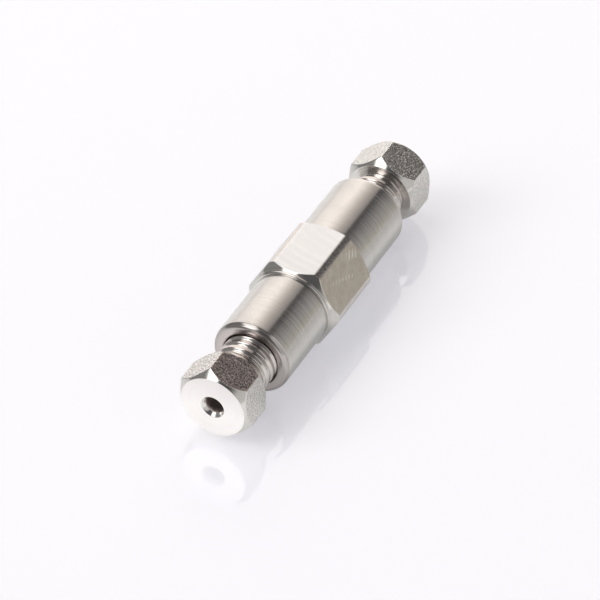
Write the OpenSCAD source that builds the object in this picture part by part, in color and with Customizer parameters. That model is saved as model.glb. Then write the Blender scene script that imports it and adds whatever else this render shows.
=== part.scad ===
// In-line non-return valve for a carbon dioxide line, with a tube gland at each end.
// The flow axis is X, from the inlet at -X to the outlet at +X.
// The origin is on the flow axis, midway along the overall length, nuts included.
// The valve lies with one flat of its hexagon facing down (-Z).
// Both gland nuts are drawn part of the way out, as when a tube is being fitted.

/* [Housing] */
// Length of the two-part housing between its end faces
housing_len = 42.4; // [41.6:0.1:48]
// Diameter of the two round barrels
barrel_d = 13.7; // [13.2:0.1:14.2]
// Radius of the rounded outer edge at each end of the housing
end_round = 1.0; // [0.4:0.1:1.2]

/* [Hexagon] */
// Width across the flats of the housing hexagon
hex_af = 15; // [14.6:0.1:15.4]
// Diameter of the round bar the hexagon was milled on
bar_d = 16.7; // [16.2:0.1:17.2]
// Length of the hexagon between its end chamfers, at the corners
hex_len = 11.1; // [10.6:0.1:11.4]
// Position along X of the joint between the two halves, from mid-housing
joint_x = -7.2; // [-7.4:0.1:-7.2]

/* [Gland nuts] */
// Width across the flats of each gland nut
nut_af = 12; // [11.6:0.1:12.4]
// Length of each nut's hexagonal head
nut_len = 7.2; // [6:0.1:8]
// Diameter of the flat end face inside the head's chamfers
nut_face_d = 11.4; // [10.6:0.1:11.8]
// Diameter of the hole that the tube passes through
tube_hole_d = 3.12; // [3.06:0.02:3.2]
// Width of the countersink at the mouth of the tube hole
countersink = 0.5; // [0.2:0.05:0.8]
// Gap between the inlet nut's head and the housing
inlet_gap = 5.65; // [1.4:0.05:6.5]
// Gap between the outlet nut's head and the housing
outlet_gap = 4.6; // [1.4:0.05:6.5]
// Turned angle of the inlet nut's head, from +Y towards +Z
inlet_turn = 81; // [0:1:359]
// Turned angle of the outlet nut's head, from +Y towards +Z
outlet_turn = 86; // [0:1:359]

/* [Gland thread] */
// Outside diameter of the gland thread
thread_d = 9.74; // [9.6:0.02:9.8]
// Pitch of the gland thread
thread_pitch = 1.5; // [1.25:0.25:1.5]
// Depth of the gland thread
thread_depth = 0.92; // [0.7:0.02:0.95]
// Number of full threads on the shank
thread_count = 6; // [4:1:6]
// Radial clearance between the gland thread and its port
port_clearance = 0.06; // [0.03:0.01:0.1]
// Length of the shank behind the head
shank_len = 10.1; // [9.8:0.1:10.2]

/* [Tube seals] */
// Diameter of the chamber that holds the tube seal
seal_chamber_d = 8; // [7.8:0.1:8.2]
// Thickness of the backing washer
backing_t = 0.6; // [0.5:0.05:0.6]
// Thickness of the rubber tube seal
seal_t = 2.2; // [1.8:0.1:2.2]
// Thickness of the olive that grips the tube
olive_t = 1.2; // [1:0.1:1.2]

/* [Check valve] */
// Diameter of the valve chamber
chamber_d = 8.1; // [8.08:0.01:8.14]
// Diameter of the gas passages at each side of the valve
passage_d = 2.6; // [2.4:0.1:2.6]
// Diameter of the poppet's guide stem
stem_d = 1.8; // [1.7:0.02:1.82]
// Number of flow holes through the poppet guide
flow_holes = 4; // [3:1:5]
// Wire diameter of the return spring
wire_d = 0.4; // [0.3:0.02:0.42]
// Number of free coils in the return spring
free_coils = 4; // [3:1:5]

/* [Hidden] */
$fn = 96;

slack = 0.02;                 // gap left between parts that touch
ring_gap = 0.01;              // gap between an O-ring and the surface it rests on
over = 1;                     // reach of a cut or a join past a face

// All places along X are measured from the middle of the housing
half = housing_len / 2;
centre_x = (inlet_gap - outlet_gap) / 2;   // brings the middle of the overall length to the origin
barrel_r = barrel_d / 2;
bar_r = bar_d / 2;
hex_half = hex_len / 2;
collar_r = barrel_r + 0.38;   // collar between the joint and the hexagon
neck_x = hex_half + 0.62;     // end of the hexagon's outlet chamfer
passage_r = passage_d / 2;

// Gland nut and its thread
nut_corner_r = nut_af / 2 / cos(30);
nut_chamfer_len = 1.5;
tube_hole_r = tube_hole_d / 2;
thread_r = thread_d / 2;
thread_root_r = thread_r - thread_depth;
thread_start = 0.7;           // from the back of the head
thread_flank = thread_depth * tan(30);
thread_flat = (thread_pitch - 2 * thread_flank) / 2;
nose_r = 2.9;

// The gland port, as depths from the housing's end face
port_depth = 9.6;             // end of the threaded part
floor_depth = 13.9;           // floor of the seal chamber
socket_depth = 14.8;          // stop for the end of the tube
port_r = thread_r + port_clearance;
port_bevel = 0.08;
socket_r = 1.58;
seal_chamber_r = seal_chamber_d / 2;

// The screwed joint between the two halves of the housing
spigot_r = 5.36;
spigot_bore_r = 5.40;
spigot_end = -2.9;
spigot_bore_end = -2.8;
spigot_bevel = 0.35;
joint_bevel = 0.2;            // at the mouth of the spigot bore
joint_groove_x0 = -6.9;
joint_groove_x1 = -5.7;
joint_groove_r = 4.5;
joint_ring_wire_r = 0.44;

// The conical seat, at 45 degrees, and the O-ring that closes on it
seat_small_x = -4.2;          // where the seat cone meets the passage
seat_big_r = passage_r + spigot_end - seat_small_x;
seal_wire_r = 0.42;
seal_ring_r = 1.75;
seal_ring_x = seal_ring_r - passage_r + seat_small_x + (seal_wire_r + ring_gap) * sqrt(2);

// The poppet
stem_r = stem_d / 2;
stem_end = 4.7;
stem_bevel = 0.2;
nose_lip_r = 1.65;
seal_groove_x0 = -3.6;
seal_groove_x1 = -2.68;
seal_groove_r = seal_ring_r - seal_wire_r - ring_gap;
flange_r = 2.75;
flange_back = -1.9;
pilot_r = 1.45;
pilot_end = 1.8;

// The guide, the chamber and the snap ring groove
guide_x = 3.70;
guide_t = 1.42;
guide_end = guide_x + guide_t;
chamber_r = chamber_d / 2;
chamber_end = guide_end + slack;
plenum_end = 5.75;
plenum_r = 3.6;
snap_groove_x0 = guide_x - 0.46;
snap_groove_x1 = guide_x - slack;
snap_groove_r = chamber_r + 0.45;

// The return spring: closed end coils with free coils between them
spring_x0 = flange_back + slack;
spring_x1 = 3.40;
spring_r = 1.8;
wire_r = wire_d / 2;
end_rise = wire_d + 0.05;     // rise of one closed end coil
free_rise = (spring_x1 - spring_x0 - wire_d - 2 * end_rise) / free_coils;

// Inner faces of the parts stacked on the inlet port's floor
backing_x = -half + floor_depth - slack;
seal_x = backing_x - backing_t - slack;
olive_x = seal_x - seal_t - slack;

// A solid of revolution about X, from [x, radius] points
module turned(points)
    rotate([0, 90, 0]) rotate_extrude() polygon([for (point = points) [point[1], point[0]]]);

// A hexagonal bar along X with one corner at the given angle from +Y
module hex_bar(across_flats, x0, x1, corner)
    translate([x0, 0, 0]) rotate([0, 90, 0]) rotate([0, 0, corner + 90])
        cylinder(h = x1 - x0, r = across_flats / 2 / cos(30), $fn = 6);

// A cylinder along X at the given y and z
module cylinder_x(radius, x0, x1, y = 0, z = 0)
    translate([x0, y, z]) rotate([0, 90, 0]) cylinder(h = x1 - x0, r = radius);

// An O-ring about X
module o_ring(x, ring_r, section_r)
    translate([x, 0, 0]) rotate([0, 90, 0]) rotate_extrude()
        translate([ring_r, 0]) circle(r = section_r, $fn = 48);

// A ring from x = 0 to its thickness, bevelled at both outer edges
module bevelled_ring(inner_r, outer_r, thickness, bevel) turned([
    [0, inner_r], [0, outer_r - bevel], [bevel, outer_r],
    [thickness - bevel, outer_r], [thickness, outer_r - bevel], [thickness, inner_r]
]);

// Outline of a barrel's outer end at +half: the rounded edge, then the end face
function barrel_end(steps = 8) = concat(
    [for (i = [0:steps]) let (angle = 90 - 90 * i / steps)
        [half - end_round + end_round * cos(angle), barrel_r - end_round + end_round * sin(angle)]],
    [[half, 0]]
);

// The gland port cut into an end face at +half, as a solid to subtract
module port_cut() {
    socket_x = half - socket_depth - 0.01;   // runs just into the passage
    turned([
        [socket_x, 0], [socket_x, socket_r],
        [half - floor_depth, socket_r], [half - floor_depth, seal_chamber_r],
        [half - port_depth, seal_chamber_r], [half - port_depth, port_r],
        [half - port_bevel, port_r], [half, port_r + port_bevel],
        [half + over / 2, port_r + port_bevel], [half + over / 2, 0]
    ]);
}

// Outside of the main housing's hexagon and collar
module hexagon_and_collar() intersection() {
    hex_bar(hex_af, joint_x - over, hex_half + 3, 0);
    turned([
        [joint_x, 0], [joint_x, collar_r - 0.16],
        [joint_x + 0.06, collar_r - 0.05], [joint_x + 0.2, collar_r],
        [-hex_half - (bar_r - collar_r), collar_r],
        [-hex_half, bar_r], [hex_half, bar_r],
        [neck_x, barrel_r + 0.4], [neck_x, 0]
    ]);
}

// Outlet barrel, with a thinner core that runs into the hexagon
module outlet_barrel() {
    core_r = barrel_r - 1;
    turned(concat([[0, 0], [0, core_r], [hex_half, core_r], [hex_half, barrel_r]], barrel_end()));
}

// Small fillet ring where the outlet barrel leaves the hexagon
module neck_fillet() turned([
    [hex_half + 0.3, 0], [hex_half + 0.3, barrel_r + 0.2],
    [neck_x, barrel_r + 0.2], [neck_x + 0.08, barrel_r + 0.07],
    [neck_x + 0.22, barrel_r], [neck_x + 0.22, 0]
]);

// Main housing: the hexagon with its collar, and the outlet barrel
module valve_body() color("silver") difference() {
    union() {
        hexagon_and_collar();
        outlet_barrel();
        neck_fillet();
    }
    // spigot bore, valve chamber, snap ring groove, plenum and passage
    turned([
        [joint_x - over, 0], [joint_x - over, spigot_bore_r + joint_bevel],
        [joint_x, spigot_bore_r + joint_bevel], [joint_x + joint_bevel, spigot_bore_r],
        [spigot_bore_end, spigot_bore_r], [spigot_bore_end, chamber_r],
        [snap_groove_x0, chamber_r], [snap_groove_x0, snap_groove_r],
        [snap_groove_x1, snap_groove_r], [snap_groove_x1, chamber_r],
        [chamber_end, chamber_r], [chamber_end, plenum_r], [plenum_end, plenum_r],
        [plenum_end, passage_r], [half - socket_depth, passage_r],
        [half - socket_depth, 0]
    ]);
    port_cut();
}

// Inlet half of the housing: barrel, spigot with its seal groove, and the valve seat
module inlet_body() color("gainsboro") difference() {
    barrel_start = -joint_x + slack;
    barrel_bevel = 0.14;
    passage_start = -half + socket_depth - 0.1;
    union() {
        mirror([1, 0, 0]) turned(concat(
            [[barrel_start, 0], [barrel_start, barrel_r - barrel_bevel],
             [barrel_start + barrel_bevel, barrel_r]],
            barrel_end()
        ));
        turned([
            [joint_x - over / 2, 0], [joint_x - over / 2, spigot_r],
            [joint_groove_x0, spigot_r], [joint_groove_x0, joint_groove_r],
            [joint_groove_x1, joint_groove_r], [joint_groove_x1, spigot_r],
            [spigot_end - spigot_bevel, spigot_r], [spigot_end, spigot_r - spigot_bevel],
            [spigot_end, 0]
        ]);
    }
    mirror([1, 0, 0]) port_cut();
    turned([
        [passage_start, 0], [passage_start, passage_r],
        [seat_small_x, passage_r], [spigot_end, seat_big_r],
        [spigot_end + over / 2, seat_big_r + over / 2], [spigot_end + over / 2, 0]
    ]);
}

// O-ring that seals the joint between the two halves of the housing
module body_o_ring() color("dimgray")
    o_ring((joint_groove_x0 + joint_groove_x1) / 2,
        joint_groove_r + joint_ring_wire_r + ring_gap, joint_ring_wire_r);

// Moving check: nose, seal groove, flange, spring pilot and guide stem
module poppet() color("lightgray") turned([
    [-4.0, 0], [-4.0, 1.1], [-3.62, nose_lip_r], [seal_groove_x0, nose_lip_r],
    [seal_groove_x0, seal_groove_r], [seal_groove_x1, seal_groove_r],
    [seal_groove_x1, flange_r], [flange_back, flange_r], [flange_back, pilot_r],
    [pilot_end, pilot_r], [pilot_end, stem_r],
    [stem_end - stem_bevel, stem_r], [stem_end, stem_r - stem_bevel], [stem_end, 0]
]);

// O-ring on the poppet that closes on the conical seat
module poppet_seal() color("dimgray") o_ring(seal_ring_x, seal_ring_r, seal_wire_r);

// Rise of the spring's centre line after the given number of turns
function coil_rise(turn) =
    turn < 1 ? end_rise * turn
    : turn < 1 + free_coils ? end_rise + free_rise * (turn - 1)
    : end_rise + free_rise * free_coils + end_rise * (turn - 1 - free_coils);

// Compression spring that closes the poppet
module return_spring() {
    coil_steps = 18;
    sides = 8;                // sides of the wire
    steps = (free_coils + 2) * coil_steps;
    // one ring of points round the wire at each step
    points = [for (i = [0:steps])
        let (turn = i / coil_steps, angle = 360 * turn,
             centre = [spring_x0 + wire_r + coil_rise(turn),
                       spring_r * cos(angle), spring_r * sin(angle)])
        for (j = [0:sides - 1]) let (around = 360 * j / sides, out = wire_r * cos(around))
            centre + [wire_r * sin(around), out * cos(angle), out * sin(angle)]];
    side_faces = [for (i = [0:steps - 1]) for (j = [0:sides - 1])
        let (k = (j + 1) % sides, ring = i * sides, next = ring + sides)
            each [[ring + j, ring + k, next + k], [ring + j, next + k, next + j]]];
    caps = [[for (j = [sides - 1:-1:0]) j], [for (j = [0:sides - 1]) steps * sides + j]];
    color("gray") polyhedron(points = points, faces = concat(side_faces, caps), convexity = 12);
}

// Washer between the return spring and the guide
module spring_shim() color("lightgray") difference() {
    cylinder_x(2.25, spring_x1 + slack, guide_x - slack);
    cylinder_x(stem_r + 0.1, spring_x1 - over, guide_x + over);
}

// Spider that guides the stem and lets gas past
module poppet_guide() color("silver") difference() {
    hole_circle_r = 2.95;
    cylinder_x(chamber_r - 0.03, guide_x, guide_end);
    cylinder_x(stem_r + 0.04, guide_x - over, guide_end + over);
    for (i = [0:flow_holes - 1]) let (angle = 45 + 360 * i / flow_holes)
        cylinder_x(0.6, guide_x - over, guide_end + over,
            hole_circle_r * cos(angle), hole_circle_r * sin(angle));
}

// Internal snap ring beside the guide, with its gap towards +Z
module guide_retaining_ring() color("gray") difference() {
    gap_width = 2.6;
    cylinder_x(chamber_r + 0.4, snap_groove_x0 + slack, snap_groove_x1 - slack);
    cylinder_x(chamber_r - 0.45, guide_x - over, guide_x + over);
    translate([guide_x - over, -gap_width / 2, 0]) cube([2 * over, gap_width, 6]);
}

// Male gland nut, drawn with the back of its head at x = 0 and its shank along +X
module gland_nut(corner) difference() {
    union() {
        nut_head(corner);
        nut_shank();
    }
    turned([
        [-nut_len - over, 0], [-nut_len - over, tube_hole_r + countersink],
        [-nut_len, tube_hole_r + countersink], [-nut_len + countersink, tube_hole_r],
        [shank_len + 2 * over, tube_hole_r], [shank_len + 2 * over, 0]
    ]);
}

// Hexagonal head, chamfered at both ends
module nut_head(corner) intersection() {
    clear_r = nut_corner_r + 0.01;
    hex_bar(nut_af, -nut_len, 0, corner);
    turned([
        [-nut_len, 0], [-nut_len, nut_face_d / 2],
        [-nut_len + nut_chamfer_len, clear_r], [-nut_chamfer_len, clear_r],
        [0, nut_face_d / 2], [0, 0]
    ]);
}

// Shank with ring-shaped threads, and a nose with a lip at its tip
module nut_shank() {
    relief_r = thread_root_r - 0.05;
    lip_r = 3.12;
    end_bevel = 0.25;
    turned(concat(
        [[-over, 0], [-over, relief_r], [thread_start, relief_r], [thread_start, thread_root_r]],
        [for (i = [0:thread_count - 1])
            let (foot = thread_start + thread_pitch * i + thread_flat / 2,
                 crest = foot + thread_flank)
            each [[foot, thread_root_r], [crest, thread_r], [crest + thread_flat, thread_r],
                  [crest + thread_flat + thread_flank, thread_root_r]]],
        [[shank_len - end_bevel, thread_root_r], [shank_len, thread_root_r - end_bevel],
         [shank_len, nose_r], [shank_len + 0.78, nose_r], [shank_len + 0.80, lip_r],
         [shank_len + 1.0, lip_r], [shank_len + 1.04, 3.0], [shank_len + 1.04, 0]]
    ));
}

// Washer that swivels on the nose of a gland nut, drawn with the nut's shoulder at x = 0
module thrust_washer() turned([
    [0.03, 2.95], [0.03, 3.70], [0.18, 3.85], [1.12, 3.85], [1.12, 3.2], [0.74, 3.2], [0.74, 2.95]
]);

// Grip ring, drawn from its inner face and tapered towards the tube seal
module olive() turned([
    [0, 1.56], [0, 2.9], [0.35, 3.75], [olive_t, 3.75], [olive_t, 1.72], [olive_t - 0.16, 1.56]
]);

// Rubber ring that is squeezed onto the tube
module tube_seal()
    bevelled_ring(inner_r = 1.52, outer_r = 3.95, thickness = seal_t, bevel = 0.2);

// Flat washer on the port floor
module backing_washer()
    bevelled_ring(inner_r = 1.58, outer_r = 3.92, thickness = backing_t, bevel = 0.12);

// Puts a nut part into the inlet port, or its mirror image into the outlet port
module inlet_nut_place(x) translate([-half - inlet_gap + x, 0, 0]) children();
module outlet_nut_place(x)
    mirror([1, 0, 0]) translate([-half - outlet_gap + x, 0, 0]) children();

// Puts a seal part, drawn from its inner face, into a port; x is its inlet place
module at_inlet(x) translate([x, 0, 0]) mirror([1, 0, 0]) children();
module at_outlet(x) mirror([1, 0, 0]) at_inlet(x) children();

module inlet_gland_nut() color("lightsteelblue") inlet_nut_place(0) gland_nut(inlet_turn);
module inlet_thrust_washer() color("tan") inlet_nut_place(shank_len) thrust_washer();
module inlet_olive() color("goldenrod") at_inlet(olive_x) olive();
module inlet_tube_seal() color("dimgray") at_inlet(seal_x) tube_seal();
module inlet_backing_washer() color("lightgray") at_inlet(backing_x) backing_washer();

module outlet_gland_nut() color("lightsteelblue") outlet_nut_place(0) gland_nut(outlet_turn);
module outlet_thrust_washer() color("tan") outlet_nut_place(shank_len) thrust_washer();
module outlet_olive() color("goldenrod") at_outlet(olive_x) olive();
module outlet_tube_seal() color("dimgray") at_outlet(seal_x) tube_seal();
module outlet_backing_washer() color("lightgray") at_outlet(backing_x) backing_washer();

// Moves a node from the housing's own middle to its place about the origin
module placed() translate([centre_x, 0, 0]) children();

placed() valve_body();
placed() inlet_body();
placed() body_o_ring();
placed() poppet();
placed() poppet_seal();
placed() return_spring();
placed() spring_shim();
placed() poppet_guide();
placed() guide_retaining_ring();
placed() inlet_gland_nut();
placed() inlet_thrust_washer();
placed() inlet_olive();
placed() inlet_tube_seal();
placed() inlet_backing_washer();
placed() outlet_gland_nut();
placed() outlet_thrust_washer();
placed() outlet_olive();
placed() outlet_tube_seal();
placed() outlet_backing_washer();
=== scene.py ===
# A check valve lying along X: the inlet half is on -X, the outlet half with the hexagon on +X,
# and a gland nut is screwed into each end. Lengths are in mm until a mesh is built, then in metres.
import math

import bpy
import numpy as np
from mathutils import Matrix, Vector


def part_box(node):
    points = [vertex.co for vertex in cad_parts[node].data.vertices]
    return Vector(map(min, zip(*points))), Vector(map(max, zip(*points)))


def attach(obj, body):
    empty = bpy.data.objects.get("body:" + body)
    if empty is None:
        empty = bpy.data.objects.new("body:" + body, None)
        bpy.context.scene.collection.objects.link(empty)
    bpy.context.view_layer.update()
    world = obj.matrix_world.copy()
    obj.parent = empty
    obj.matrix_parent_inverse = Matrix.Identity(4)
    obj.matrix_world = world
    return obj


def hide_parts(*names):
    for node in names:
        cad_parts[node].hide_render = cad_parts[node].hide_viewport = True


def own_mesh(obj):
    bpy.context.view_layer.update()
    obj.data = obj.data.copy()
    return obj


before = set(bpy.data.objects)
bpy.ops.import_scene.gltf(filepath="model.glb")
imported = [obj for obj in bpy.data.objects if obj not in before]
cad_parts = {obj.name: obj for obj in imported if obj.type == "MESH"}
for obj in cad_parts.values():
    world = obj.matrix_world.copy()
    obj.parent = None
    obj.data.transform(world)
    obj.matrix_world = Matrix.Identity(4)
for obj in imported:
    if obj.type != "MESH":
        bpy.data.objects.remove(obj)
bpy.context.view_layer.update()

MM = 0.001


def box_mm(node):
    """Lowest x, highest x and highest z of a frame node."""
    lo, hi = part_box(node)
    return lo.x / MM, hi.x / MM, hi.z / MM


# ---------------------------------------------------------------- sizes, in mm

valve_lo, valve_hi, HEX_APOTHEM = box_mm("valve_body")
inlet_lo, _, BARREL_R = box_mm("inlet_body")
CENTRE_X = (valve_hi + inlet_lo) / 2    # middle of the housing; its profiles are measured from here
HALF = valve_hi - CENTRE_X              # half the housing's length
JOINT = valve_lo - CENTRE_X             # where the two halves meet
END_ROUND = 1.0                         # rounding of the barrel's ends
BAR_R = 8.35                            # round bar the hexagon is cut from
HEX_HALF = 5.55                         # half the hexagon's length
HEX_START = -7.1                        # the flats run on to here over the inlet-side chamfer
COLLAR_R = BARREL_R + 0.38              # step on the inlet side of the hexagon
HEX_BLEND = 0.06                        # softening of the hexagon's corners

NUT_LENGTH, NUT_APOTHEM, NUT_BLEND = 7.2, 6.0, 0.10
NUT_CORNER_R = NUT_APOTHEM / math.cos(math.pi / 6)
NUT_FACE_R, NUT_CHAMFER = 5.7, 1.5
SHANK = 10.1                            # threaded length behind the nut's head
RELIEF_R = 3.98                         # groove between head and thread
PITCH, THREAD_R, THREAD_DEPTH = 1.5, 4.77, 0.40
ROOT_R = THREAD_R - THREAD_DEPTH
TIP_R = ROOT_R - 0.25                   # end of the thread's tip chamfer
THREAD_START, THREAD_STEP = 1.40, 0.06
TUBE_HOLE_R, LIP_DEPTH, LIP_WIDTH = 1.56, 0.62, 0.50

WIRE_R, COIL_R = 0.2, 1.8               # return spring
FREE_TURNS, TURN_STEPS, WIRE_SIDES = 4, 40, 14


# ---------------------------------------------------------------- profiles

def fillet(rows, steps):
    """[x, r] points from rows of x, r and corner rounding."""
    corners = [np.array(row[:2], float) for row in rows]
    out = []
    for i, corner in enumerate(corners):
        rounding = rows[i][2]
        if i == 0 or i == len(corners) - 1 or rounding <= 0:
            out.append(corner)
            continue
        back, ahead = corners[i - 1] - corner, corners[i + 1] - corner
        back_length, ahead_length = np.linalg.norm(back), np.linalg.norm(ahead)
        back, ahead = back / back_length, ahead / ahead_length
        half = math.acos(max(-1.0, min(1.0, float(back @ ahead)))) / 2
        if half > math.pi / 2 - 0.02:    # almost straight
            out.append(corner)
            continue
        cut = min(rounding / math.tan(half), 0.45 * back_length, 0.45 * ahead_length)
        radius = cut * math.tan(half)
        middle = back + ahead
        centre = corner + middle / np.linalg.norm(middle) * (radius / math.sin(half))
        first = math.atan2(*(corner + back * cut - centre)[::-1])
        last = math.atan2(*(corner + ahead * cut - centre)[::-1])
        turn = (last - first + math.pi) % (2 * math.pi) - math.pi
        for k in range(steps + 1):
            angle = first + turn * k / steps
            out.append(centre + radius * np.array([math.cos(angle), math.sin(angle)]))
    return out


def resample(points, step):
    """Splits stretches longer than step, which is a length or a function of the mid point."""
    out = [np.array(points[0], float)]
    for point in points[1:]:
        point = np.array(point, float)
        start = out[-1]
        length = np.linalg.norm(point - start)
        if length < 1e-6:
            continue
        longest = step((point + start) / 2) if callable(step) else step
        count = max(1, int(math.ceil(length / longest)))
        out += [start + (point - start) * k / count for k in range(1, count + 1)]
    return out


def end_round(sign, angles):
    """Points on the rounded end of the barrel; sign is the end's side along X."""
    return [np.array([sign * (HALF - END_ROUND + math.sin(angle)),
                      BARREL_R - END_ROUND + math.cos(angle)]) for angle in angles]


def smooth_min(a, b, width):
    share = np.clip(0.5 + 0.5 * (b - a) / width, 0, 1)
    return b * (1 - share) + a * share - width * share * (1 - share)


def hex_radius(theta, apothem, corner, blend):
    """Distance from the axis to a hexagon's side; corner is the angle of one corner in degrees."""
    radius = None
    for i in range(6):
        cosine = np.cos(theta - math.radians(corner + 30 + 60 * i))
        side = apothem / np.maximum(cosine, 0.3)
        radius = side if radius is None else smooth_min(radius, side, blend)
    return radius


def revolve(profile, segments, shape=None):
    """Rings from [x, r] points; shape(x, r, theta) may change the radius at each angle."""
    angles = np.arange(segments) * 2 * math.pi / segments
    points = np.array(profile)
    x = np.repeat(points[:, :1], segments, 1)
    r = np.repeat(points[:, 1:2], segments, 1)
    theta = np.repeat(angles[None, :], len(points), 0)
    if shape is not None:
        r = shape(x, r, theta)
    return np.stack([x, r * np.cos(theta), r * np.sin(theta)], -1)


# ---------------------------------------------------------------- meshes

def add_object(name, mesh):
    obj = bpy.data.objects.new(name, mesh)
    bpy.context.scene.collection.objects.link(obj)
    return obj


def ring_mesh(name, rings, origin, base, regions, sign=1):
    """A mesh closed along and round the rings, put at x = origin and mirrored if sign is -1.
    regions(x, r, theta) lists (material, faces) pairs over the base; later ones win."""
    rings[..., 0] = rings[..., 0] * sign + origin
    ring_count, sides = rings.shape[:2]
    points = rings.reshape(-1, 3)
    mesh = bpy.data.meshes.new(name)
    mesh.vertices.add(len(points))
    mesh.vertices.foreach_set("co", (points * MM).astype(np.float32).ravel())
    i = np.arange(ring_count)[:, None]
    j = np.arange(sides)[None, :]
    i_next, j_next = (i + 1) % ring_count, (j + 1) % sides
    quads = np.stack([i * sides + j, i * sides + j_next,
                      i_next * sides + j_next, i_next * sides + j], -1).reshape(-1, 4)
    # faces point outwards when the signed volume is positive
    a, b, c, d = (points[quads[:, k]] for k in range(4))
    volume = (np.einsum("ij,ij->i", a, np.cross(b, c))
              + np.einsum("ij,ij->i", a, np.cross(c, d))).sum() / 6
    if volume < 0:
        quads = quads[:, ::-1]
    count = len(quads)
    mesh.loops.add(count * 4)
    mesh.loops.foreach_set("vertex_index", quads.astype(np.int32).ravel())
    mesh.polygons.add(count)
    mesh.polygons.foreach_set("loop_start", np.arange(0, count * 4, 4, dtype=np.int32))

    x, y, z = ((a + b + c + d) / 4).T
    index = np.zeros(count, np.int32)
    mesh.materials.append(base)
    found = regions((x - origin) * sign, np.hypot(y, z), np.arctan2(z, y))
    for slot, (material, faces) in enumerate(found, 1):
        mesh.materials.append(material)
        index[faces] = slot
    mesh.polygons.foreach_set("material_index", index)
    mesh.polygons.foreach_set("use_smooth", np.ones(count, dtype=bool))
    mesh.update(calc_edges=True)
    mesh.validate()
    return add_object(name, mesh)


def stand_in(obj, body, node):
    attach(obj, body)
    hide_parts(node)


# ---------------------------------------------------------------- shader nodes

class Net:
    """The node tree of a material or world, with short calls for common nodes."""

    def __init__(self, owner, output="ShaderNodeOutputMaterial"):
        owner.use_nodes = True
        self.owner = owner
        self.tree = owner.node_tree
        self.tree.nodes.clear()
        self.output = self.tree.nodes.new(output)

    def set(self, socket, value):
        if isinstance(value, bpy.types.NodeSocket):
            self.tree.links.new(value, socket)
        else:
            socket.default_value = value

    def node(self, kind, inputs=None, **settings):
        node = self.tree.nodes.new(kind)
        for key, value in settings.items():
            setattr(node, key, value)
        for key, value in (inputs or {}).items():
            self.set(node.inputs[key], value)
        return node

    def finish(self, shader):
        self.tree.links.new(shader.outputs[0], self.output.inputs[0])
        return self.owner

    def math(self, operation, a, b=0.0, clamp=False):
        return self.node("ShaderNodeMath", {0: a, 1: b},
                         operation=operation, use_clamp=clamp).outputs[0]

    def add(self, a, b):
        return self.math("ADD", a, b)

    def sub(self, a, b):
        return self.math("SUBTRACT", a, b)

    def mul(self, a, b):
        return self.math("MULTIPLY", a, b)

    def weighted(self, *parts):
        """Sum of (signal, weight) pairs."""
        (signal, weight), *rest = parts
        term = self.mul(signal, weight)
        return self.add(term, self.weighted(*rest)) if rest else term

    def length(self, *axes):
        total = self.mul(axes[0], axes[0])
        for axis in axes[1:]:
            total = self.add(total, self.mul(axis, axis))
        return self.math("SQRT", total)

    def coord(self):
        return self.node("ShaderNodeTexCoord").outputs["Object"]

    def xyz(self, vector):
        return tuple(self.node("ShaderNodeSeparateXYZ", {0: vector}).outputs)

    def vec(self, x, y, z):
        return self.node("ShaderNodeCombineXYZ", {0: x, 1: y, 2: z}).outputs[0]

    def noise(self, vector=None, scale=1.0, detail=2.0, roughness=0.5, distortion=0.0):
        """Noise over object coordinates unless a vector is given."""
        if vector is None:
            vector = self.coord()
        return self.node("ShaderNodeTexNoise", {
            "Vector": vector, "Scale": scale, "Detail": detail,
            "Roughness": roughness, "Distortion": distortion}).outputs[0]

    def grain(self, axes, scales, detail=2.0, roughness=0.5):
        """Noise with its own scale along each of up to three axes."""
        parts = [self.mul(axis, scale) for axis, scale in zip(axes, scales)]
        vector = self.vec(*parts, *[0.0] * (3 - len(parts)))
        return self.noise(vector, detail=detail, roughness=roughness)

    def ramp(self, factor, stops):
        node = self.node("ShaderNodeValToRGB", {0: factor})
        elements = node.color_ramp.elements
        while len(elements) > 1:
            elements.remove(elements[-1])
        elements[0].position, elements[0].color = stops[0][0], rgba(stops[0][1])
        for position, color in stops[1:]:
            elements.new(position).color = rgba(color)
        return node.outputs[0]

    def fit(self, value, span, to=(0.0, 1.0), smooth=False):
        """Maps span onto to, clamped."""
        return self.node("ShaderNodeMapRange",
                         {0: value, 1: span[0], 2: span[1], 3: to[0], 4: to[1]},
                         interpolation_type="SMOOTHSTEP" if smooth else "LINEAR").outputs[0]

    def mix(self, factor, a, b, blend="MIX"):
        a, b = (v if isinstance(v, bpy.types.NodeSocket) else rgba(v) for v in (a, b))
        return self.node("ShaderNodeMix", {"Factor": factor, 6: a, 7: b},
                         data_type="RGBA", blend_type=blend).outputs[2]

    def tinted(self, a, b):
        return self.mix(1.0, a, b, "MULTIPLY")

    def bump(self, height, strength, distance, normal=None):
        inputs = {"Strength": strength, "Distance": distance, "Height": height}
        if normal is not None:
            inputs["Normal"] = normal
        return self.node("ShaderNodeBump", inputs).outputs[0]


def rgba(color):
    return (*color, 1.0)


def shade(color, factor):
    return tuple(min(1, c * factor) for c in color)


def scaled(color, factor):
    return tuple(c * factor for c in color)


def new_material(name):
    return Net(bpy.data.materials.new(name))


# ---------------------------------------------------------------- materials

def metal(net, color, rough, normal, aniso=None):
    """Finishes a metal; aniso, if given, stretches highlights about the X axis."""
    ringed = aniso is not None
    shader = net.node("ShaderNodeBsdfPrincipled", {
        "Metallic": 1.0, "Base Color": color, "Roughness": rough,
        "Anisotropic": aniso if ringed else 0.0,
        "Anisotropic Rotation": 0.25 if ringed else 0.0})
    if ringed:
        tangent = net.node("ShaderNodeTangent", direction_type="RADIAL", axis="X")
        net.set(shader.inputs["Tangent"], tangent.outputs[0])
    net.set(shader.inputs["Normal"], normal)
    return net.finish(shader)


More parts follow.
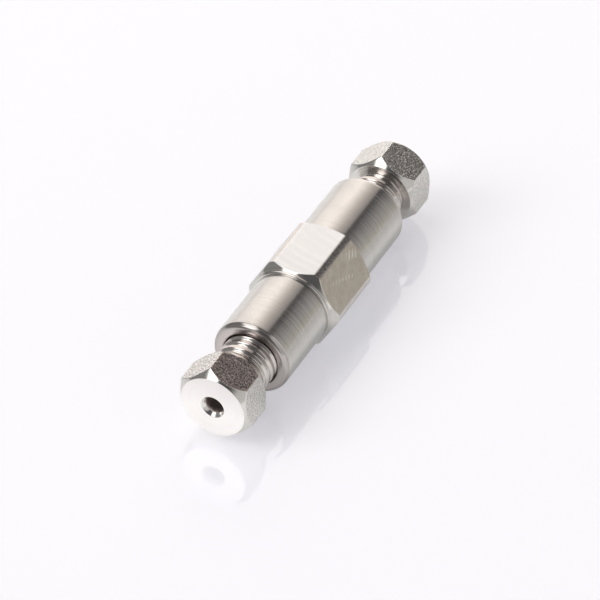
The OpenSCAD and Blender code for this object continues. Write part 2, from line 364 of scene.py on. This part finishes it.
def turned(name, base=(0.785, 0.762, 0.742), rough=0.20, lines=1.0, aniso=0.6):
    """Lathe-turned metal: fine rings round the X axis, on barrels and end faces alike.
    lines is the depth of the rings."""
    net = new_material(name)
    x, y, z = net.xyz(net.coord())
    # runs along barrels and outwards over end faces
    along = net.add(x, net.mul(net.length(y, z), 1.37))
    axes = (along, y, z)
    fine = net.grain(axes, scales=(9000.0, 45.0, 45.0), roughness=0.6)
    mid = net.grain(axes, scales=(2300.0, 30.0, 30.0))
    blotch = net.noise(scale=260.0, detail=3.0, roughness=0.55)
    scratch = net.grain(axes, scales=(700.0, 2600.0, 2600.0), detail=3.0, roughness=0.7)
    normal = net.bump(net.weighted((fine, 0.6), (mid, 1.0)),
                      strength=0.28 * lines, distance=10e-6)
    normal = net.bump(scratch, strength=0.12, distance=8e-6, normal=normal)
    tone = net.weighted((mid, 0.5), (fine, 0.5))
    color = net.mix(net.fit(tone, span=(0.38, 0.62)), shade(base, 0.92), shade(base, 1.08))
    color = net.mix(net.fit(blotch, span=(0.35, 0.7), to=(0.0, 0.5)), color, shade(base, 0.93))
    speck = net.noise(scale=5200.0, detail=1.0, roughness=0.6)
    color = net.mix(net.fit(speck, span=(0.35, 0.65), to=(0.5, 0.0)), color, shade(base, 0.88))
    roughness = net.add(net.fit(tone, span=(0.3, 0.7), to=(rough - 0.05, rough + 0.06)),
                        net.fit(blotch, span=(0.3, 0.75), to=(0.0, 0.05)))
    return metal(net, color, roughness, normal, aniso)


def chatter_marks(net, x, y, z, blotch):
    """Rows of short slanting marks, in mm along and across the flat facing up and to -Y; the mask
    sets their relief and, in the milled flats, their painted glints.
    """
    slope, spacing, slant = math.radians(20), 0.90, 0.46
    cosine, sine = math.cos(slope), math.sin(slope)
    flat_x = net.mul(net.sub(x, CENTRE_X * MM), 1000.0)
    flat_y = net.weighted((y, -500.0), (z, -866.0))
    along = net.weighted((flat_x, cosine), (flat_y, sine))
    across = net.sub(net.mul(flat_y, cosine), net.mul(flat_x, sine))
    beat = net.math("SINE", net.mul(net.add(along, net.mul(across, slant)),
                                    2 * math.pi / spacing))
    beat = net.fit(beat, span=(-0.25, 0.65), smooth=True)

    def band(value, centre, half, core):
        distance = net.math("ABSOLUTE", net.sub(value, centre))
        return net.fit(distance, span=(half, half * core), smooth=True)

    def row(centre, half_width, middle, half_length):
        return net.mul(band(across, centre, half_width, core=0.4),
                       band(along, middle, half_length, core=0.6))

    strong = row(centre=-3.08, half_width=0.95, middle=3.15, half_length=1.7)
    faint = net.mul(row(centre=0.12, half_width=0.46, middle=-0.8, half_length=3.8),
                    net.fit(blotch, span=(0.40, 0.62), to=(0.15, 0.62)))
    return net.mul(beat, net.math("MAXIMUM", strong, faint))


def milled(name):
    """Milled hexagon flats: faint cutter arcs, and chatter marks with painted glints on one flat,
    which is darkened and warmed with painted shade.
    """
    base, rough = (0.768, 0.780, 0.800), 0.18
    cutter = (0.021, -0.006, -0.012)    # centre of the arcs, in metres
    net = new_material(name)
    x, y, z = net.xyz(net.coord())
    reach = net.length(net.sub(x, cutter[0]), net.add(y, -cutter[1]), net.add(z, -cutter[2]))
    fine = net.grain((reach,), scales=(5200.0,), detail=3.0, roughness=0.6)
    broad = net.grain((reach, x), scales=(900.0, 60.0))
    blotch = net.noise(scale=330.0, detail=3.0, roughness=0.6)
    speck = net.noise(scale=4200.0, roughness=0.6)
    marks = chatter_marks(net, x, y, z, blotch)
    # 1 on the flat facing up and to -Y, with its distance from the axis in metres
    side = net.math("GREATER_THAN", net.sub(net.mul(z, 0.5), net.mul(y, 0.866)), 0.00735)
    marks = net.mul(marks, side)
    normal = net.bump(net.add(fine, broad), strength=0.36, distance=14e-6)
    normal = net.bump(marks, strength=0.6, distance=12e-6, normal=normal)
    tone = net.weighted((fine, 0.3), (broad, 0.4), (speck, 0.3))
    color = net.mix(net.fit(tone, span=(0.38, 0.62)), shade(base, 0.89), shade(base, 1.07))
    color = net.mix(net.fit(blotch, span=(0.4, 0.7), to=(0.0, 0.6)), color, shade(base, 0.95))

    # paints shade on the flat facing up and to -Y: a darker, warmer mottled tint
    def shade_on_side(color, signal, span, to, tint):
        return net.mix(net.mul(side, net.fit(signal, span, to)), color, tint)

    color = shade_on_side(color, blotch, span=(0.3, 0.7), to=(0.75, 1.0), tint=(0.775, 0.715, 0.645))
    cloud = net.noise(scale=620.0, detail=3.0, roughness=0.6)
    color = shade_on_side(color, cloud, span=(0.42, 0.62), to=(0.0, 0.55), tint=(0.670, 0.600, 0.545))
    color = shade_on_side(color, tone, span=(0.38, 0.62), to=(0.35, 0.0), tint=(0.60, 0.55, 0.50))
    # painted glints: the chatter marks are lightened and warmed where they would catch the light
    color = net.mix(marks, color, (1.0, 0.97, 0.90))
    roughness = net.add(net.fit(tone, span=(0.3, 0.7), to=(rough - 0.05, rough + 0.08)),
                        net.mul(marks, 0.12))
    return metal(net, color, roughness, normal)


def drawn(name, base, lean=0.0, relief=1.0, painted_shade=None):
    """Cold-drawn bar skin: a salt-and-pepper grain in relief, with light draw lines along X.
    lean turns the shading some degrees round X, for flats slightly off true;
    the last argument paints shade on the one flat whose normal is 111 degrees round X, darkening
    and tinting it."""
    rough = 0.15
    net = new_material(name)
    coord = net.coord()
    x, y, z = net.xyz(coord)
    grit = net.noise(coord, scale=3700.0, detail=0.0)
    mottle = net.noise(coord, scale=7000.0, detail=1.0, roughness=0.6)
    cell = net.noise(coord, scale=1300.0, roughness=0.6, distortion=0.4)
    draw = net.grain((x, y, z), scales=(300.0, 4200.0, 4200.0), detail=3.0, roughness=0.6)
    pits = net.node("ShaderNodeTexVoronoi", {"Scale": 2600.0, "Vector": coord})
    pit = net.fit(pits.outputs[0], span=(0.08, 0.42))
    tone = net.weighted((grit, 0.5), (mottle, 0.3), (cell, 0.2))
    color = net.mix(net.fit(tone, span=(0.42, 0.58)), shade(base, 0.88), shade(base, 1.07))
    color = net.mix(net.sub(1.0, pit), color, shade(base, 0.74))
    if painted_shade:
        # painted shade: darkens and warms the flat whose normal is 111 degrees round X
        flat = net.math("GREATER_THAN", net.weighted((y, -0.358), (z, 0.934)), 0.00588)
        color = net.mix(flat, color, net.tinted(color, painted_shade))
    normal = None
    if lean:
        surface = net.node("ShaderNodeNewGeometry").outputs["Normal"]
        normal = net.node("ShaderNodeVectorRotate",
                          {"Vector": surface, "Angle": math.radians(lean)},
                          rotation_type="X_AXIS").outputs[0]
    normal = net.bump(grit, strength=1.0, distance=85e-6 * relief, normal=normal)
    normal = net.bump(mottle, strength=1.0, distance=24e-6 * relief, normal=normal)
    normal = net.bump(net.add(cell, net.mul(draw, 0.25)),
                      strength=0.6, distance=40e-6 * relief, normal=normal)
    normal = net.bump(pit, strength=0.5, distance=14e-6, normal=normal)
    roughness = net.fit(tone, span=(0.35, 0.65), to=(rough - 0.04, rough + 0.06))
    return metal(net, color, roughness, normal)


def faced(name):
    """The nut's end face: bright, with faint concentric tool marks, and painted shade darkening it
    towards the top.
    """
    base, rough = (1.0, 0.962, 0.965), 0.32
    net = new_material(name)
    coord = net.coord()
    _, y, z = net.xyz(coord)
    axes = (net.length(y, z), y, z)
    rings = net.grain(axes, scales=(3600.0, 25.0, 25.0), roughness=0.6)
    broad = net.grain(axes, scales=(1100.0, 60.0, 60.0))
    blotch = net.noise(coord, scale=420.0, detail=3.0, roughness=0.6)
    tone = net.weighted((rings, 0.5), (broad, 0.5))
    color = net.mix(net.fit(tone, span=(0.35, 0.65)), shade(base, 0.95), shade(base, 1.02))
    color = net.mix(net.fit(blotch, span=(0.45, 0.75), to=(0.0, 0.5)), color, shade(base, 0.96))
    # painted shade: the face darkens towards the top
    color = net.mix(net.fit(z, span=(-0.0010, 0.0050)), color, shade(base, 0.84))
    normal = net.bump(tone, strength=0.35, distance=14e-6)
    roughness = net.fit(tone, span=(0.3, 0.7), to=(rough - 0.05, rough + 0.05))
    return metal(net, color, roughness, normal, aniso=0.3)


def rubber(name):
    base, rough = (0.022, 0.022, 0.024), 0.55
    net = new_material(name)
    coord = net.coord()
    coarse = net.noise(coord, scale=1500.0, detail=3.0, roughness=0.6)
    fine = net.noise(coord, scale=6000.0)
    color = net.mix(net.fit(coarse, span=(0.3, 0.7)), base, shade(base, 1.9))
    normal = net.bump(net.add(coarse, fine), strength=0.3, distance=10e-6)
    return net.finish(net.node("ShaderNodeBsdfPrincipled", {
        "Base Color": color,
        "Roughness": net.fit(coarse, span=(0.3, 0.7), to=(rough - 0.1, rough + 0.12)),
        "Normal": normal}))


TURNED = turned("turned_steel")
COLLAR = turned("turned_chamfer_steel", rough=0.11, aniso=0.4)
MILLED = milled("milled_steel")
DRAWN = drawn("drawn_bar_steel", base=(0.87, 0.845, 0.825), lean=1.5, relief=0.8)
# the inlet nut's flat at 111 degrees gets painted shade
DRAWN_INLET = drawn("drawn_bar_steel_inlet", base=(0.86, 0.835, 0.815), lean=9.0, relief=0.85,
                    painted_shade=(0.77, 0.685, 0.675))
DRAWN_BODY = drawn("drawn_bar_steel_body", base=(0.82, 0.780, 0.755), relief=0.32)
FACED = faced("faced_steel")
# darker and warmer than the turned steel: painted shade on the thread in the gap between nut and
# body
THREAD = turned("thread_steel_shaded", base=(0.735, 0.690, 0.670), rough=0.09, lines=0.6, aniso=0.3)
# a darker copy of the turned steel: painted shade on the inlet barrel's end rim
RIM_SHADED = turned("turned_rim_steel_shaded", base=(0.570, 0.530, 0.520), rough=0.14, aniso=0.4)
BORE = turned("bored_steel", base=(0.92, 0.83, 0.80), rough=0.34, aniso=0.2)
LIP = turned("countersink_steel", base=(0.86, 0.84, 0.82), rough=0.14, lines=0.6, aniso=0.3)
INNER = turned("inner_steel", base=(0.72, 0.70, 0.68), rough=0.24)
SPRING = turned("spring_wire_steel", base=(0.52, 0.51, 0.50), rough=0.30, lines=0.5, aniso=0.0)
BRASS = turned("turned_brass", base=(0.82, 0.62, 0.28), rough=0.25)
RUBBER = rubber("seal_rubber")


# ---------------------------------------------------------------- housing

def gland_port(rounding):
    """Rows of x, r, rounding for the +X gland port, from the mouth inwards."""
    return [
        [HALF, 5.10, 0.03], [HALF - 0.17, 4.93, 0.02],
        [HALF - 9.6, 4.93, rounding], [HALF - 9.6, 4.0, rounding],
        [HALF - 13.9, 4.0, rounding], [HALF - 13.9, 1.58, rounding],
        [HALF - 14.8, 1.58, rounding], [HALF - 14.8, 1.3, rounding],
    ]


def make_valve_body():
    """Outlet half, with the hexagon."""
    outside = [    # x, r, rounding
        [JOINT, 5.60, 0], [JOINT, COLLAR_R - 0.14, 0.05],
        [JOINT + 0.08, COLLAR_R - 0.03, 0.05], [JOINT + 0.2, COLLAR_R, 0.05],
        [-HEX_HALF - (BAR_R - COLLAR_R), COLLAR_R, 0.10],
        [-HEX_HALF, BAR_R, 0.05], [HEX_HALF, BAR_R, 0.05],
        [HEX_HALF + 0.62, BARREL_R + 0.4, 0.07], [HEX_HALF + 0.62, BARREL_R + 0.2, 0],
        [HEX_HALF + 0.70, BARREL_R + 0.07, 0.05], [HEX_HALF + 0.84, BARREL_R, 0.05],
        [HALF - END_ROUND, BARREL_R, 0],
    ]
    inside = [[HALF, BARREL_R - END_ROUND, 0]] + gland_port(rounding=0.04) + [
        [5.75, 1.3, 0.04], [5.75, 3.6, 0.04], [5.14, 3.6, 0.04], [5.14, 4.05, 0.04],
        [3.68, 4.05, 0.04], [3.68, 4.5, 0.04], [3.24, 4.5, 0.04], [3.24, 4.05, 0.04],
        [-2.8, 4.05, 0.04], [-2.8, 5.40, 0.04], [JOINT + 0.2, 5.40, 0.04], [JOINT, 5.60, 0],
    ]

    def step(point):
        """Fine on the chamfers at the hexagon's ends."""
        x, r = point
        return 0.06 if r > HEX_APOTHEM - 0.2 and 0 <= abs(x) - HEX_HALF < 1.4 else 0.35

    profile = fillet(outside, steps=5) + end_round(1, np.linspace(0.08, math.pi / 2, 14))
    profile = resample(profile, step) + resample(fillet(inside, steps=3), 0.9)[1:-1]

    def shape(x, r, theta):
        on_hex = (x > HEX_START) & (x < HEX_HALF + 0.63) & (r > BARREL_R + 0.05)
        hexagon = hex_radius(theta, HEX_APOTHEM, 0.0, HEX_BLEND)
        return np.where(on_hex, smooth_min(r, hexagon, 0.09), r)

    def regions(x, r, theta):
        hexagon = hex_radius(theta, HEX_APOTHEM, 0.0, HEX_BLEND)
        flat = ((np.abs(r - hexagon) < 0.03) & (x > HEX_START) & (x < HEX_HALF + 0.6)
                & (r > BARREL_R + 0.5))
        strip = (r > BAR_R - 0.12) & (np.abs(x) < HEX_HALF)
        return [(COLLAR, (x < HEX_HALF + 0.9) & (r > 5.3)),
                (MILLED, flat),
                (DRAWN_BODY, strip & ~flat),
                (BORE, (r < 5.3) & (x > JOINT + 0.3) & (x < HALF - 0.3))]

    obj = ring_mesh("valve_body_shell", revolve(profile, 600, shape), CENTRE_X, TURNED, regions)
    stand_in(obj, "housing", "valve_body")


def make_inlet_body():
    """Plain inlet half, with a spigot that reaches into the outlet half."""
    rows = [    # x, r, rounding
        [-HALF + END_ROUND, BARREL_R, 0], [JOINT - 0.16, BARREL_R, 0.05],
        [JOINT - 0.02, BARREL_R - 0.14, 0.04], [JOINT - 0.02, 5.36, 0],
        [-6.9, 5.36, 0.03], [-6.9, 4.5, 0.03], [-5.7, 4.5, 0.03], [-5.7, 5.36, 0.03],
        [-3.25, 5.36, 0.05], [-2.9, 5.01, 0.04], [-2.9, 2.6, 0.04], [-4.2, 1.3, 0.04],
    ]
    rows += [[-x, r, rounding] for x, r, rounding in reversed(gland_port(rounding=0.03))]
    rows += [[-HALF, BARREL_R - END_ROUND, 0]]
    profile = end_round(-1, np.linspace(math.pi / 2, 0.0, 15)) + fillet(rows, steps=3)[1:]

    def regions(x, r, theta):
        return [(BORE, (r < 4.99) & (x > -HALF + 0.1)),
                # the end rim gets the painted-shade copy of the turned steel
                (RIM_SHADED, (x < -HALF + 0.8) & (r > 4.99))]

    rings = revolve(resample(profile, 0.5)[:-1], 288)
    obj = ring_mesh("inlet_body_shell", rings, CENTRE_X, TURNED, regions)
    stand_in(obj, "housing", "inlet_body")


# ---------------------------------------------------------------- gland nuts

def thread_wave(phase):
    """Height 0..1 of a worn thread, phase in pitches: broad crests at 0, narrow roots."""
    root_edge, crest_edge = 0.47, 0.22
    phase = np.abs((phase + 0.5) % 1.0 - 0.5)
    rise = np.clip((root_edge - phase) / (root_edge - crest_edge), 0, 1)
    return rise * rise * (3 - 2 * rise) * 0.5 + rise * 0.5


def nut_profile():
    """x from the back of the head: the face is at -NUT_LENGTH, the thread on +x."""
    head = [    # x, r, rounding
        [-NUT_LENGTH, TUBE_HOLE_R + LIP_WIDTH + 0.03, 0], [-NUT_LENGTH, NUT_FACE_R, 0.07],
        [-NUT_LENGTH + NUT_CHAMFER, NUT_CORNER_R + 0.01, 0.05],
        [-NUT_CHAMFER, NUT_CORNER_R + 0.01, 0.05], [0, NUT_FACE_R, 0.07],
        [0, RELIEF_R, 0.12], [1.10, RELIEF_R, 0.08], [THREAD_START, ROOT_R, 0],
    ]
    tail = [
        [SHANK, TIP_R, 0], [SHANK, 2.9, 0.04], [SHANK + 0.78, 2.9, 0.04],
        [SHANK + 0.80, 3.12, 0], [SHANK + 1.0, 3.12, 0], [SHANK + 1.04, 3.0, 0],
        [SHANK + 1.04, TUBE_HOLE_R, 0.05], [-NUT_LENGTH + LIP_DEPTH, TUBE_HOLE_R, 0],
    ]

    def step(point):
        """Fine on the head's two chamfers."""
        x, r = point
        plain = -NUT_LENGTH + 1.65 < x < -1.65
        return 0.07 if r > NUT_APOTHEM - 0.5 and not plain else 0.4

    profile = resample(fillet(head, steps=5), step)
    profile += [np.array([x, ROOT_R])
                for x in np.arange(THREAD_START, SHANK + 1e-6, THREAD_STEP)[1:]]
    profile += resample(fillet(tail, steps=3), 0.8)
    # the lip of the tube hole, from the bore out to the face
    for k in range(1, 13):
        out = k / 12
        profile.append(np.array([-NUT_LENGTH + LIP_DEPTH - LIP_DEPTH * out ** 1.25,
                                 TUBE_HOLE_R + LIP_WIDTH * (0.55 * out + 0.45 * out * out)]))
    # doubled points are dropped
    kept = [profile[0]]
    for point in profile[1:]:
        if np.linalg.norm(point - kept[-1]) > 2e-3:
            kept.append(point)
    return kept


def make_nut(node, body, sign, corner, crest_x, bar):
    """sign is -1 for the mirrored outlet nut; crest_x is where a crest passes theta = 0."""
    lo, hi, _ = box_mm(node)
    head_back = lo + NUT_LENGTH if sign > 0 else hi - NUT_LENGTH

    def shape(x, r, theta):
        hexagon = hex_radius(theta, NUT_APOTHEM, corner, NUT_BLEND)
        on_hex = (x <= 0.001) & (r > NUT_APOTHEM - 0.6)
        r = np.where(on_hex, smooth_min(r, hexagon, 0.10), r)
        on_thread = ((x > THREAD_START - 0.01) & (x <= SHANK + 1e-6)
                     & (np.abs(r - ROOT_R) < 1e-3))
        phase = (x - crest_x) / PITCH - sign * theta / (2 * math.pi)
        run_in = np.clip((x - 1.38) / 0.25, 0, 1)
        height = thread_wave(phase) * THREAD_DEPTH * run_in * run_in * (3 - 2 * run_in)
        # the first thread is chamfered at the tip
        tip = np.maximum(TIP_R + (SHANK - x), TIP_R)
        return np.where(on_thread, np.minimum(ROOT_R + height, tip), r)

    def regions(x, r, theta):
        hexagon = hex_radius(theta, NUT_APOTHEM, corner, NUT_BLEND)
        flat = ((np.abs(r - hexagon) < 0.035) & (x < -0.1) & (x > -NUT_LENGTH + 0.1)
                & (r > NUT_APOTHEM - 0.6))
        return [(COLLAR, ~flat),
                (FACED, (x < -NUT_LENGTH + 0.02) & (r > 2.1)),
                (THREAD, (x > 0.05) & (r > 2.7)),
                (BORE, r < 1.62),
                (LIP, (x < -NUT_LENGTH + 0.66) & (r < 2.10) & (r > 1.562))]

    rings = revolve(nut_profile(), 480, shape)
    obj = ring_mesh(node + "_shell", rings, head_back, bar, regions, sign)
    stand_in(obj, body, node)


# ---------------------------------------------------------------- return spring

def make_spring():
    """A coil with closed, tapered ends that shortens towards its +X end."""
    lo, hi, _ = box_mm("return_spring")
    turns = FREE_TURNS + 2
    length = hi - lo - 2 * WIRE_R
    end_rise = WIRE_R * 2 + 0.05
    steps = turns * TURN_STEPS
    points = []
    for i in range(steps + 1):
        turn = i / TURN_STEPS
        x = lo + WIRE_R + np.interp(turn, [0, 1, 1 + FREE_TURNS, turns],
                                    [0, end_rise, length - end_rise, length])
        angle = 2 * math.pi * turn
        cosine, sine = math.cos(angle), math.sin(angle)
        # the wire tapers towards each end
        taper = max(0, 1 - turn * 3), max(0, 1 - (turns - turn) * 3)
        radius = WIRE_R * (1 - 0.35 * taper[0] - 0.35 * taper[1])
        for j in range(WIRE_SIDES):
            around = 2 * math.pi * j / WIRE_SIDES
            r = COIL_R + radius * math.cos(around)
            point = (x + radius * math.sin(around), r * cosine, r * sine)
            points.append(scaled(point, MM))
    faces = []
    for i in range(steps):
        here, ahead = i * WIRE_SIDES, (i + 1) * WIRE_SIDES
        for j in range(WIRE_SIDES):
            k = (j + 1) % WIRE_SIDES
            faces.append((here + j, ahead + j, ahead + k, here + k))
    faces.append(tuple(range(WIRE_SIDES)))
    faces.append(tuple(steps * WIRE_SIDES + j for j in reversed(range(WIRE_SIDES))))
    mesh = bpy.data.meshes.new("return_spring_coil")
    mesh.from_pydata(points, [], faces)
    mesh.materials.append(SPRING)
    for face in mesh.polygons:
        face.use_smooth = len(face.vertices) == 4
    mesh.update()
    obj = add_object("return_spring_coil", mesh)
    stand_in(obj, "housing", "return_spring")
    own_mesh(obj)


# ---------------------------------------------------------------- inner parts, as in the frame

FINISH = {
    "body_o_ring": RUBBER, "poppet": INNER, "poppet_seal": RUBBER, "spring_shim": INNER,
    "poppet_guide": INNER, "guide_retaining_ring": SPRING,
}
for end in ("inlet", "outlet"):
    FINISH.update({end + "_thrust_washer": INNER, end + "_olive": BRASS,
                   end + "_tube_seal": RUBBER, end + "_backing_washer": INNER})


def finish_inner_parts():
    for name, material in FINISH.items():
        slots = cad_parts[name].data.materials
        slots.clear()
        slots.append(material)


# ---------------------------------------------------------------- floor

def reflected_floor_shade(net, x, y, glossy):
    """Painted shade on the table, seen only in the metal's reflections: darker away to -Y,
    full beyond the inlet nut on -X. Spans are in metres."""
    away = net.fit(y, span=(-0.100, -0.032), to=(0.46, 0.63))
    level = net.math("MINIMUM", net.fit(y, span=(-0.0135, -0.0090), to=(0.87, 0.67)),
                     net.fit(y, span=(-0.030, -0.015), to=(away, 0.87)))
    plus_y = net.mul(net.fit(y, span=(0.000, 0.010), to=(0.0, 0.86)),
                     net.fit(y, span=(0.030, 0.100), to=(1.0, 0.80)))
    level = net.math("MAXIMUM", level, plus_y)
    for span, top in (((-0.016, -0.023), 0.93), ((-0.033, -0.037), 1.0)):
        level = net.math("MAXIMUM", level, net.fit(x, span=span, to=(0.0, top)))
    return net.add(1.0, net.mul(glossy, net.sub(level, 1.0)))


def floor_material():
    """Glossy white acrylic, clear from below so that the underside can be looked at."""
    net = new_material("floor_white")
    coord = net.coord()
    haze = net.noise(coord, scale=9.0)
    fine = net.noise(coord, scale=900.0, detail=3.0, roughness=0.6)
    color = net.mix(haze, (0.885, 0.880, 0.905), (0.905, 0.897, 0.922))
    x, y, _ = net.xyz(coord)
    glossy = net.node("ShaderNodeLightPath").outputs["Is Glossy Ray"]
    # painted shade on the table, seen only by glossy rays
    level = reflected_floor_shade(net, x, y, glossy)
    # a warm tint painted on the table only where the metal reflects it
    reflected_tint = net.mix(glossy, (1.0, 1.0, 1.0), (1.0, 1.012, 0.955))
    surface = net.node("ShaderNodeBsdfPrincipled", {
        "IOR": 1.68,
        "Base Color": net.tinted(net.tinted(color, net.vec(level, level, level)), reflected_tint),
        "Roughness": net.fit(fine, span=(0.3, 0.7), to=(0.004, 0.014)),
        "Specular IOR Level": 0.5,
        # a faint glow, as if lit through from below
        "Emission Color": net.tinted((0.990, 0.982, 1.075), reflected_tint),
        "Emission Strength": net.mul(level, 0.320)})
    return net.finish(net.node("ShaderNodeMixShader", {
        0: net.node("ShaderNodeNewGeometry").outputs["Backfacing"],
        1: surface.outputs[0],
        2: net.node("ShaderNodeBsdfTransparent").outputs[0]}))


def make_floor():
    half = 3.0                                # metres
    z = -HEX_APOTHEM * MM - 0.00001           # just under the hexagon
    mesh = bpy.data.meshes.new("floor")
    corners = [(-half, -half, z), (half, -half, z), (half, half, z), (-half, half, z)]
    mesh.from_pydata(corners, [], [(0, 1, 2, 3)])
    obj = add_object("floor", mesh)
    mesh.materials.append(floor_material())


# ---------------------------------------------------------------- soft studio surround

NEUTRAL, COOL = (1.0, 0.985, 0.955), (0.985, 0.985, 1.0)
BASE_LIGHT = 0.22
# Soft cards, later ones in front: azimuth from +X towards +Y, elevation, half width,
# half height and edge softness in degrees, brightness, tint
CARDS = [
    (-88, 15, 42, 42, 7, 0.63, NEUTRAL),     # grey wall on -Y
    (-158, 42, 19, 24, 8, 0.10, COOL),       # the dark round the camera
    (-26, 62, 19, 15, 7, 0.09, COOL),        # unlit ceiling
    (105, 15, 36, 24, 6, 0.25, NEUTRAL),
    (62, 14, 9, 24, 3, 0.14, COOL),
    (163, 16, 8, 14, 5, 0.55, NEUTRAL),
    (100, 66, 24, 18, 5, 1.75, NEUTRAL),     # overhead softbox
    (147, 46, 12, 16, 4, 2.4, NEUTRAL),      # its near end
]
# The +X end of the studio: angle round X from +Y (0) over the top (90) to -Y (180), colour.
# A window, its fall-off, a hard-edged gap, then the -Y wall down to the table's edge.
SWEEP = [
    (0, (0.84, 0.80, 0.77)), (13, (1.20, 1.13, 1.07)), (36, (1.30, 1.23, 1.16)),
    (57, (1.36, 1.27, 1.19)), (66, (1.16, 1.07, 1.00)), (82, (0.80, 0.74, 0.67)),
    (98, (0.49, 0.445, 0.415)), (108.5, (0.37, 0.34, 0.325)), (110.5, (0.075, 0.068, 0.066)),
    (122, (0.082, 0.079, 0.080)), (138, (0.136, 0.131, 0.131)), (154, (0.255, 0.243, 0.235)),
    (171, (0.335, 0.325, 0.290)), (176, (0.43, 0.41, 0.35)), (180, (0.25, 0.235, 0.195)),
]
# Matt surfaces get a share of the surround, even light, and a soft key that casts the shadows
MATT_SHARE, MATT_EVEN, MATT_TINT = 0.17, 0.295, (1.0, 0.99, 1.005)
KEY_CARD, KEY_BRIGHTNESS = (136, 33, 15, 12, 6), 5.6    # placed like the cards
BACKDROP = (0.955, 0.940, 0.970)             # seen by the camera above the table's edge


def direction(azimuth, elevation):
    a, e = math.radians(azimuth), math.radians(elevation)
    return np.array([math.cos(a) * math.cos(e), math.sin(a) * math.cos(e), math.sin(e)])


def card_mask(net, view, azimuth, elevation, half_width, half_height, soft):
    """1 where the view direction meets the card, fading at its edges."""
    centre = direction(azimuth, elevation)
    turn = math.radians(azimuth)
    across = np.array([-math.sin(turn), math.cos(turn), 0.0])
    upward = np.cross(centre, across)

    def dot(vector):
        return net.node("ShaderNodeVectorMath", {0: view, 1: tuple(vector)},
                        operation="DOT_PRODUCT").outputs["Value"]

    depth = net.math("MAXIMUM", dot(centre), 0.05)
    sideways, height = (net.math("ABSOLUTE", net.math("DIVIDE", dot(axis), depth))
                        for axis in (across, upward))

    def edge(offset, half):
        outer, inner = (math.tan(math.radians(v)) for v in (half + soft, max(half - soft, 0.0)))
        return net.fit(offset, span=(outer, inner), smooth=True)

    front = net.math("GREATER_THAN", dot(centre), 0.06)
    return net.mul(net.mul(edge(sideways, half_width), edge(height, half_height)), front)


def make_world():
    world = bpy.data.worlds.new("studio")
    bpy.context.scene.world = world
    net = Net(world, "ShaderNodeOutputWorld")
    generated = net.node("ShaderNodeTexCoord").outputs["Generated"]
    view = net.node("ShaderNodeVectorMath", {0: generated}, operation="NORMALIZE").outputs[0]

    light = net.mix(0.0, scaled(NEUTRAL, BASE_LIGHT), (0, 0, 0))
    for *place, brightness, tint in CARDS:
        light = net.mix(card_mask(net, view, *place), light, scaled(tint, brightness))
    x, y, z = net.xyz(view)
    turn = net.math("DIVIDE", net.math("ARCTAN2", z, y), math.pi, clamp=True)
    sweep = net.ramp(turn, [(angle / 180.0, color) for angle, color in SWEEP])
    light = net.mix(net.fit(x, span=(0.53, 0.62), smooth=True), light, sweep)

    matt = net.node("ShaderNodeLightPath").outputs["Is Diffuse Ray"]
    seen = net.node("ShaderNodeLightPath").outputs["Is Camera Ray"]
    even = net.mix(MATT_SHARE, (0.0, 0.0, 0.0), light)
    even = net.mix(1.0, even, scaled(MATT_TINT, MATT_EVEN), "ADD")
    even = net.mix(card_mask(net, view, *KEY_CARD), even, scaled(MATT_TINT, KEY_BRIGHTNESS))
    light = net.mix(matt, light, even)
    light = net.mix(seen, light, BACKDROP)
    net.finish(net.node("ShaderNodeBackground", {0: light}))


# ---------------------------------------------------------------- camera

def make_camera():
    """Looks down at the housing's middle from the -X, -Y side."""
    distance = 0.79253                        # metres
    back = Vector(tuple(direction(azimuth=-152.912, elevation=40.766)))
    camera = bpy.data.cameras.new("camera")
    obj = add_object("camera", camera)
    camera.sensor_width = 36.0
    camera.lens = 289.548
    camera.shift_x = -0.01629333
    camera.shift_y = -0.02806833
    camera.clip_start, camera.clip_end = 0.01, 20.0
    obj.location = back * distance + Vector((CENTRE_X * MM, 0, 0))
    obj.rotation_mode = "QUATERNION"
    obj.rotation_quaternion = (-back).to_track_quat("-Z", "Y")
    bpy.context.scene.camera = obj


# ---------------------------------------------------------------- build

make_valve_body()
make_inlet_body()
make_nut("inlet_gland_nut", "inlet_nut", sign=1, corner=81.0, crest_x=1.075, bar=DRAWN_INLET)
make_nut("outlet_gland_nut", "outlet_nut", sign=-1, corner=86.0, crest_x=0.825, bar=DRAWN)
make_spring()
finish_inner_parts()
make_floor()
make_world()
make_camera()
bpy.context.scene.view_settings.view_transform = "Standard"
bpy.context.scene.view_settings.look = "None"
